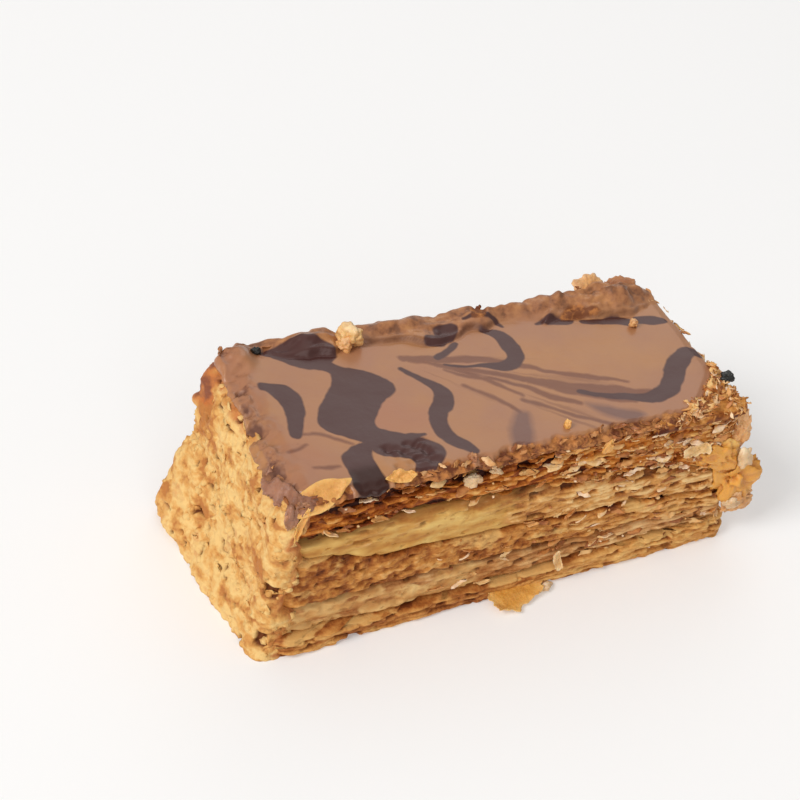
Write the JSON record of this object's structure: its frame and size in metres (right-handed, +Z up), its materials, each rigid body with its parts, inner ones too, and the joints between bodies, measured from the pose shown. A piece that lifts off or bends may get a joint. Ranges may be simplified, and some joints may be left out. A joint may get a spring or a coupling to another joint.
{
  "type": "layered puff pastry slice",
  "caption": "Rectangular slice of puff pastry sheets with caramel and custard fillings, a marbled chocolate icing and one end coated in golden crumbs.",
  "frame": {"origin": "middle of the foot of the slice's box, on the surface it rests on", "axes": "+Z up, +X along the slice away from the crumbed end, -Y towards the long cut front"},
  "size_m": [0.1272, 0.0538, 0.048],
  "materials": {
    "baked_pastry": "flaky browned puff pastry, matte, light golden at the leaf edges and dark brown in the cracks",
    "caramel_filling": "tan milk caramel, soft satin, smeared by the cut",
    "custard_filling": "pale yellow pastry cream, soft satin, smeared by the cut",
    "marbled_icing": "milk-brown icing with feathered dark chocolate lines, broad soft gloss",
    "golden_crumb": "pressed golden pastry crumbs with small dark pits, matte"
  },
  "bodies": {
    "root": {"bottom_pastry": "baked_pastry", "lower_filling": "caramel_filling", "middle_pastry": "baked_pastry", "upper_filling": "custard_filling", "top_pastry": "baked_pastry", "icing": "marbled_icing", "crumb_coat": "golden_crumb"}
  },
  "joints": []
}
